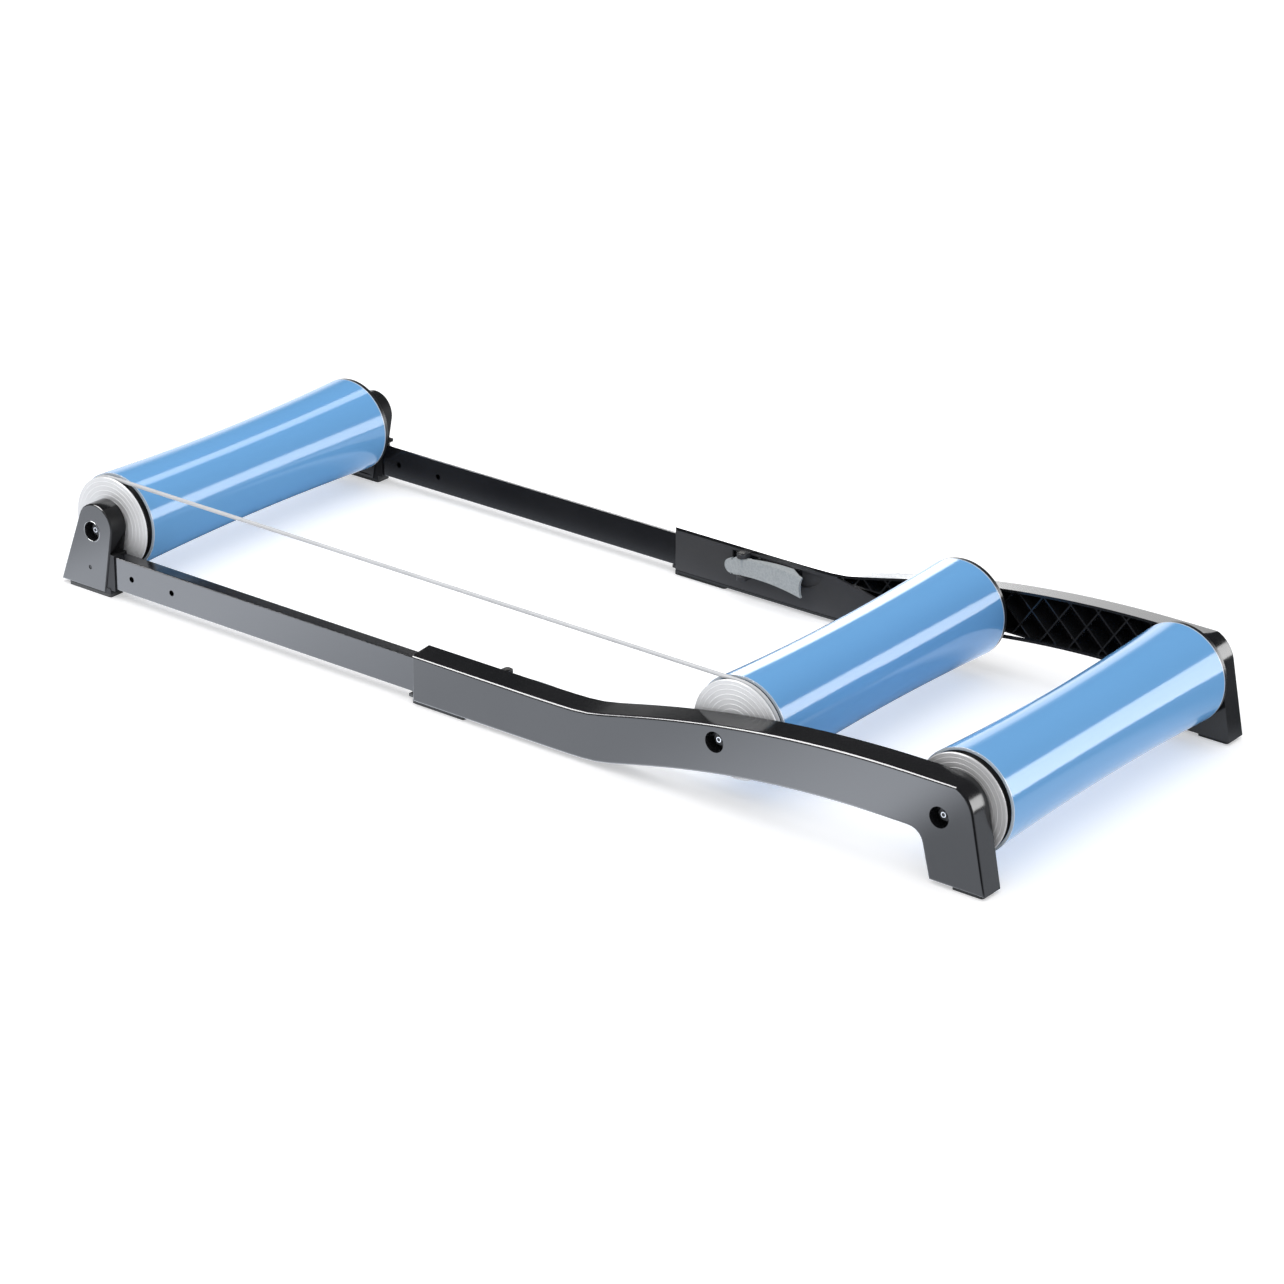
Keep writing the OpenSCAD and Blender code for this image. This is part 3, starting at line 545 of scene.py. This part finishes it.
def turned(profile, centre, steps):
    """Spins a closed profile of (radius, y) about an axis along Y."""
    shape = bmesh.new()
    ring = [shape.verts.new((centre[0], y, centre[2] + r)) for r, y in profile]
    edges = [shape.edges.new((ring[i], ring[(i + 1) % len(ring)])) for i in range(len(ring))]
    bmesh.ops.spin(shape, geom=ring + edges, cent=centre, axis=(0, 1, 0), angle=2 * math.pi,
                   steps=steps, use_merge=True, use_duplicate=False)
    bmesh.ops.remove_doubles(shape, verts=shape.verts, dist=seam_distance)
    bmesh.ops.recalc_face_normals(shape, faces=shape.faces)
    return shape


def roller_centre(roller):
    """The point on the roller's axis in the middle plane."""
    low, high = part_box(roller + "_shell")
    return ((low[0] + high[0]) / 2, 0, (low[2] + high[2]) / 2)


# Each side with the corner of a box that lies there, and the way outwards along Y
side_corners = (("left", 1, 1), ("right", 0, -1))
rod_ring = [(0.0022, 0), (0.0022, 0.0004), (0.0029, 0.0004), (0.0029, 0)]
rod_steps = 48
for roller, body in (("front", "inner_frame"), ("mid", "outer_frame"), ("rear", "outer_frame")):
    for side, corner, out in side_corners:
        rod_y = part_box(roller + "_axle")[corner][1]
        rim = turned([(r, rod_y + out * rise) for r, rise in rod_ring], roller_centre(roller),
                     rod_steps)
        add_piece(roller + "_" + side + "_axle_rim", rim, steel, body)

pocket_r = 0.0115
pocket_rim = [(-0.0001, -0.0006), (-0.0001, 0.0002), (0.0002, 0.0005), (0.0007, 0.0005),
              (0.0011, 0.0001), (0.0011, -0.0006)]
pocket_steps = 72
for side, corner, out in side_corners:
    face_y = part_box(side + "_front_bracket")[corner][1]
    rim = turned([(pocket_r + r, face_y + out * rise) for r, rise in pocket_rim],
                 roller_centre("front"), pocket_steps)
    add_piece(side + "_bracket_rim", rim, highlit_rim_plastic, "inner_frame")


# Roller tubes
# Drums of blue plastic, waisted so that the tyre runs back to the middle. A pale lip shows
# where the wall of the tube ends.

drum_blue = finish("drum_blue", (0.160, 0.405, 0.750), (0.166, 0.412, 0.758), 0.09, 0.13,
                   grain_scale=900.0, grain_depth=0.000004, patch_scale=6.0)
tube_half = (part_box("mid_shell")[1][1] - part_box("mid_shell")[0][1]) / 2
tube_end = (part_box("mid_shell")[1][2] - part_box("mid_shell")[0][2]) / 2
tube_waist = 0.052
tube_wall = 0.003
tube_steps = 180
tube_spans = 48


def tube_radius(y):
    """The outer radius of a drum at that distance from its middle."""
    return tube_waist + (tube_end - tube_waist) * (y / tube_half) ** 2


lip_plastic = finish("lip_plastic", (0.56, 0.62, 0.68), (0.60, 0.66, 0.72), 0.15, 0.25)
lip_profile = [(-0.0028, -0.0016), (-0.0002, -0.0016), (0, -0.0012), (0, -0.0002), (-0.0003, 0.0001),
               (-0.0028, 0.0001)]

tube_places = [tube_half * (2 * i / tube_spans - 1) for i in range(tube_spans + 1)]
tube_profile = ([(tube_radius(y), y) for y in tube_places]
                + [(tube_radius(y) - tube_wall, y) for y in reversed(tube_places)])
for roller in rollers:
    tube = turned(tube_profile, roller_centre(roller), tube_steps)
    add_piece(roller + "_tube", tube, drum_blue, roller + "_roller", [roller + "_shell"])
    for side, corner, out in side_corners:
        lip = turned([(tube_end + r, out * (tube_half + y)) for r, y in lip_profile],
                     roller_centre(roller), tube_steps)
        add_piece(roller + "_" + side + "_lip", lip, lip_plastic, roller + "_roller")

show_only_in(front_strip, "front_tube")
show_only_in(band_light, "mid_tube")


# Hubs, discs and bearings
# A black hub is pressed into each end. The left one carries the belt groove and a pale disc
# with fine rings. The rear roller has no belt; its disc is painted greyer, as painted shade for the
# deep gap beside the rail.

hub_plastic = finish("hub_plastic", (0.012, 0.012, 0.013), (0.018, 0.018, 0.019), 0.22, 0.36)
disc_plastic = finish("disc_plastic", (0.84, 0.85, 0.87), (0.88, 0.89, 0.91), 0.32, 0.45)
# The rear disc is the same pale plastic, painted greyer as painted shade
shaded_disc_plastic = finish("shaded_disc_plastic", (0.54, 0.54, 0.55), (0.58, 0.58, 0.59), 0.25, 0.35)
disc_back, disc_front = (corner[1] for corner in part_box("mid_left_disc"))
disc_r = (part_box("mid_left_disc")[1][2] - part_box("mid_left_disc")[0][2]) / 2
disc_bore = 0.009
flange_height = 0.003
ring_count = 7
ring_step = (disc_front - disc_back - flange_height) / ring_count
outer_ring = 0.0045
inner_ring = 0.018
ring_slope = 0.0006
ring_rise = 0.0001
groove_side = 0.0055
rim_back = 0.001
rim_front = 0.0022
rim_round = 0.0008
disc_steps = 160
disc_crease = math.radians(20)
disc_profile = [(disc_bore, disc_back), (disc_r - groove_side, disc_back),
                (disc_r, disc_back + rim_back), (disc_r, disc_back + rim_front),
                (disc_r - rim_round, disc_back + flange_height)]
for i in range(ring_count):
    edge_r = disc_r - outer_ring - (disc_r - inner_ring) * i / ring_count
    level = disc_back + flange_height + ring_step * i
    disc_profile += [(edge_r, level), (edge_r - ring_slope, level + ring_step + ring_rise),
                     (edge_r - 2 * ring_slope, level + ring_step)]
disc_profile.append((disc_bore, disc_front))

for roller in rollers:
    paint(hub_plastic, roller + "_left_hub", roller + "_right_hub")
    paint(steel, roller + "_left_bearing", roller + "_right_bearing")
    disc = turned(disc_profile, roller_centre(roller), disc_steps)
    add_piece(roller + "_pulley_disc", disc, shaded_disc_plastic if roller == "rear" else disc_plastic,
              roller + "_roller", [roller + "_left_disc"], disc_crease)


# Latches
# A grey arched lever clamps each bar. It swings on an upright steel pin, which runs through
# a round knuckle at the lever's end.

lever_plastic = finish("lever_plastic", (0.38, 0.41, 0.43), (0.46, 0.49, 0.50), 0.34, 0.5,
                       patch_scale=420.0)
pin_steel = finish("pin_steel", (0.28, 0.275, 0.27), (0.34, 0.335, 0.33), 0.2, 0.3, metallic=1.0)
lever_round = 0.0004
shortest_lever_edge = 0.003
knuckle_r = 0.0029
knuckle_height = 0.0185
knuckle_lift = 0.0002
knuckle_steps = 48

for side in sides:
    lever = merged_copy(side + "_latch_lever")
    round_over(lever, lever_round, lambda edge: edge.calc_length() > shortest_lever_edge)
    add_piece(side + "_latch_arm", lever, lever_plastic, side + "_latch", [side + "_latch_lever"])
    pin_x, pin_y, pin_z = box_middle(side + "_latch_pin")
    knuckle = bmesh.new()
    bmesh.ops.create_cone(knuckle, cap_ends=True, segments=knuckle_steps, radius1=knuckle_r,
                          radius2=knuckle_r, depth=knuckle_height,
                          matrix=Matrix.Translation((pin_x, pin_y, pin_z + knuckle_lift)))
    add_piece(side + "_latch_knuckle", knuckle, lever_plastic, side + "_latch")
paint(pin_steel, "left_latch_pin", "right_latch_pin")


# Drive belt
# A round white belt of soft plastic joins the middle and the front roller. It is drawn once,
# in the shape of the belt solid.

belt_plastic = finish("belt_plastic", (0.62, 0.63, 0.65), (0.57, 0.58, 0.60), 0.45, 0.60, ior=1.3)
belt_low, belt_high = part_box("drive_belt")
belt_y = (belt_low.y + belt_high.y) / 2
belt_z = (belt_low.z + belt_high.z) / 2
belt_r = (belt_high.y - belt_low.y) / 2
loop_r = (belt_high.z - belt_low.z) / 2 - belt_r
rear_x = belt_low.x + belt_r + loop_r
front_x = belt_high.x - belt_r - loop_r
run_steps = 40
turn_steps = 40
section_steps = 24


def draw_on(shape, ring, steps, **move):
    """Draws the belt's section on, straight or about an axis along Y; returns its new end."""
    return bmesh.ops.spin(shape, geom=ring, axis=(0, 1, 0), steps=steps, use_duplicate=False,
                          **move)["geom_last"]


belt_shape = bmesh.new()
bmesh.ops.create_circle(belt_shape, segments=section_steps, radius=belt_r,
                        matrix=Matrix.Translation((rear_x, belt_y, belt_z + loop_r))
                        @ Matrix.Rotation(math.pi / 2, 4, "Y"))
belt_end = belt_shape.verts[:] + belt_shape.edges[:]
run_step = (front_x - rear_x) / run_steps
for axis_x, way in ((front_x, 1), (rear_x, -1)):
    belt_end = draw_on(belt_shape, belt_end, run_steps, dvec=(way * run_step, 0, 0))
    belt_end = draw_on(belt_shape, belt_end, turn_steps, cent=(axis_x, belt_y, belt_z), angle=math.pi)
bmesh.ops.remove_doubles(belt_shape, verts=belt_shape.verts, dist=join_distance)
bmesh.ops.recalc_face_normals(belt_shape, faces=belt_shape.faces)
belt = add_piece("belt_loop", belt_shape, belt_plastic, replaced=["drive_belt"])
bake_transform(belt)
